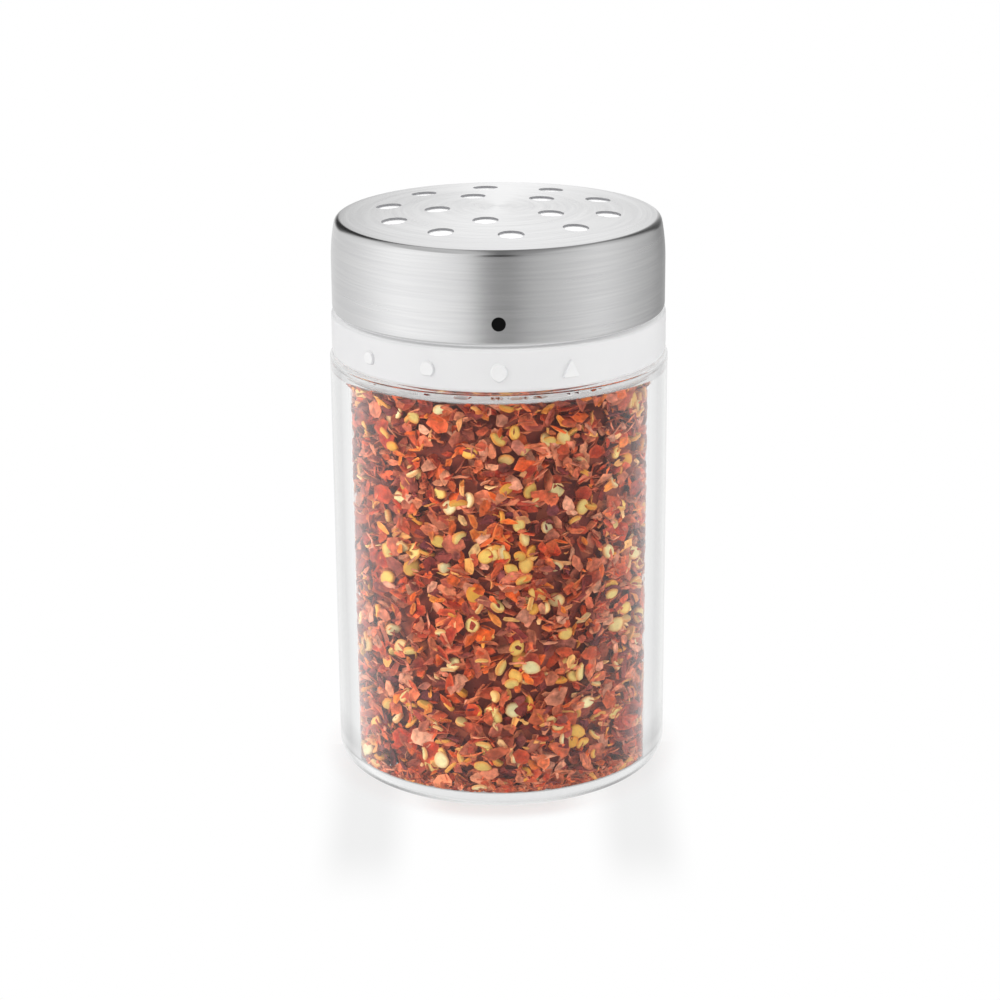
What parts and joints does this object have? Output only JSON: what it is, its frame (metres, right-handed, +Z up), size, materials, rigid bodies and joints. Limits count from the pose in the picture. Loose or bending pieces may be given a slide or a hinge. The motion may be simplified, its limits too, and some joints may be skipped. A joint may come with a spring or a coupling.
{
  "type": "spice jar",
  "caption": "Glass spice jar of chili flakes with a white screw collar and a perforated steel shaker cap that turns on the collar to pick the hole size.",
  "frame": {"origin": "middle of the foot ring, on the surface the jar stands on", "axes": "+Z up along the jar's axis; the front, where the cap's index dot sits at rest, faces -Y"},
  "size_m": [0.06, 0.06, 0.1021],
  "materials": {
    "glass": "gloss",
    "chili": "matte",
    "silicone": "matte",
    "white_plastic": "satin",
    "steel": "satin",
    "black_plastic": "gloss"
  },
  "bodies": {
    "jar": {"glass_jar": "glass", "chili_flakes": "chili"},
    "gasket": {"rim_gasket": "silicone"},
    "lid": {"threaded_collar": "white_plastic", "selector_plate": "white_plastic"},
    "cap": {"steel_cap": "steel", "cap_liner": "white_plastic", "index_dot": "black_plastic"}
  },
  "joints": [
    {"name": "lid_rise", "type": "slide", "parent": "jar", "child": "gasket", "axis": [0, 0, 1], "range_m": [0, 0.0127]},
    {"name": "lid_unscrew", "type": "hinge", "parent": "gasket", "child": "lid", "pos_m": [0, 0, 0.088], "axis": [0, 0, 1], "range_deg": [0, 540]},
    {"name": "cap_turn", "type": "hinge", "parent": "lid", "child": "cap", "pos_m": [0, 0, 0.096], "axis": [0, 0, 1], "range_deg": [-48, 24]}
  ],
  "couplings": [
    {"joint": "lid_rise", "follows": "lid_unscrew", "m_per_rad": 0.0013369}
  ]
}
